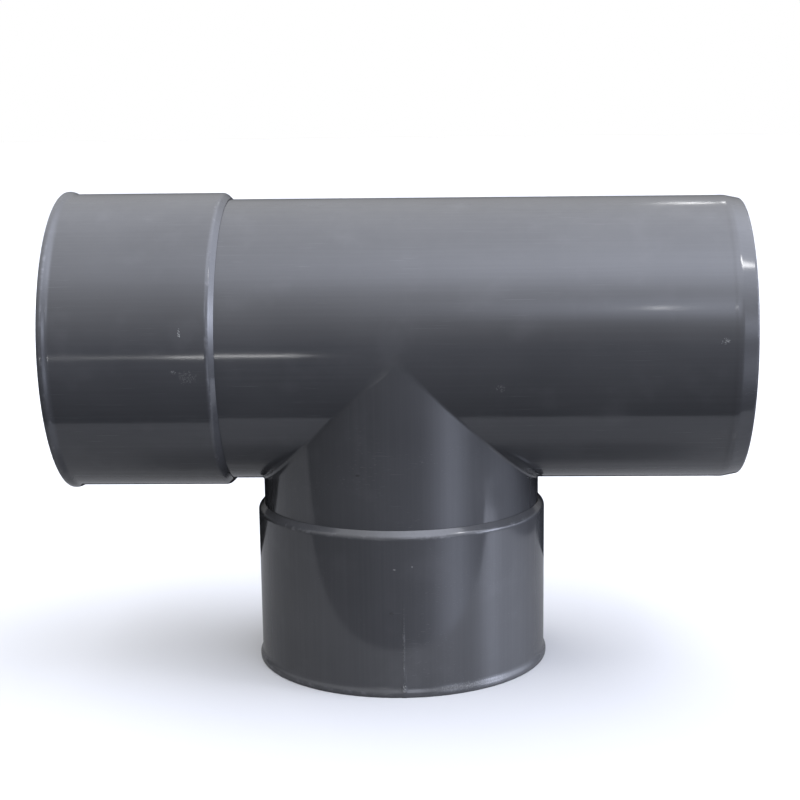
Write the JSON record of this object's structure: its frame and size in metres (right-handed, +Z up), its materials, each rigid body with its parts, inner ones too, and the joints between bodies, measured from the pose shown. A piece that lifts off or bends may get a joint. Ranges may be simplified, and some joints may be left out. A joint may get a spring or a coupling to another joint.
{
  "type": "pvc tee fitting",
  "caption": "Grey PVC pipe tee for 110 mm pipe: the run has a cement socket at one end and a plain spigot at the other, and the branch at right angles has a cement socket.",
  "frame": {"origin": "on the surface the tee stands on, at the centre of the branch socket's mouth, under the crossing of the two pipe axes", "axes": "+X along the run from its socket to its spigot end, +Z up against the branch, which points down, and +Y across"},
  "size_m": [0.2622, 0.117, 0.1872],
  "materials": {
    "grey_pvc": "glossy mid grey with a cool tint, lightly scuffed",
    "weld_pvc": "the same grey, dressed flush, slightly duller",
    "cement": "dried solvent cement, pale grey and smooth"
  },
  "bodies": {
    "root": {"run_barrel": "grey_pvc", "branch_neck": "grey_pvc", "branch_weld": "weld_pvc", "run_socket": "grey_pvc", "branch_socket": "grey_pvc", "run_socket_cement": "cement", "branch_socket_cement": "cement"}
  },
  "joints": []
}
